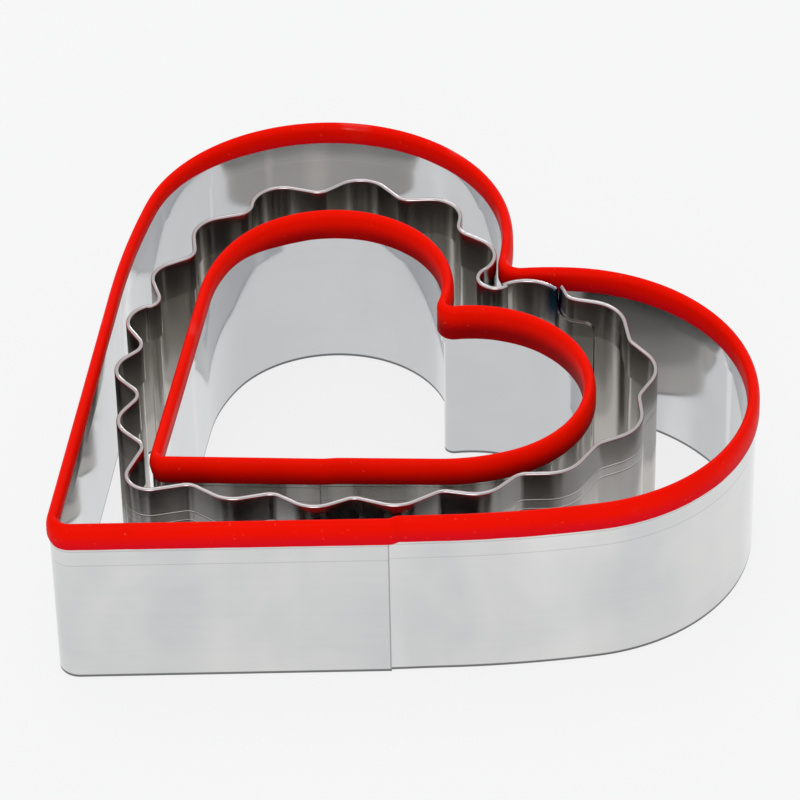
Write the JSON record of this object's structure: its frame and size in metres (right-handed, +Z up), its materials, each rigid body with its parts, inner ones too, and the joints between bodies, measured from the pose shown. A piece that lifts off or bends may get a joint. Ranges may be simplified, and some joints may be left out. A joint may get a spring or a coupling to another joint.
{
  "type": "nested heart cookie cutters",
  "caption": "Nested heart cookie cutters bent from steel strip: two plain ones with a push-on edge grip round the top, and a fluted one with a bare folded edge between them.",
  "frame": {"origin": "on the surface the set stands on, at the centre of the large cutter's box", "axes": "+Z up, from the cutting edges to the grips; +Y along the large heart from its tip to its cleft; +X across its lobes, with the lap seams on the +X side"},
  "size_m": [0.0974, 0.0914, 0.025],
  "materials": {
    "satin_steel": "satin rolled stainless strip",
    "bright_steel": "bright rolled stainless strip",
    "red_grip": "glossy soft red vinyl"
  },
  "bodies": {
    "large_cutter": {"large_band": "satin_steel", "large_grip": "red_grip"},
    "fluted_cutter": {"fluted_band": "bright_steel"},
    "small_cutter": {"small_band": "satin_steel", "small_grip": "red_grip"}
  },
  "joints": [
    {"name": "fluted_lift", "type": "slide", "parent": "large_cutter", "child": "fluted_cutter", "axis": [0, 0, 1], "range_m": [0, 0.03]},
    {"name": "small_lift", "type": "slide", "parent": "large_cutter", "child": "small_cutter", "axis": [0, 0, 1], "range_m": [0, 0.03]}
  ]
}
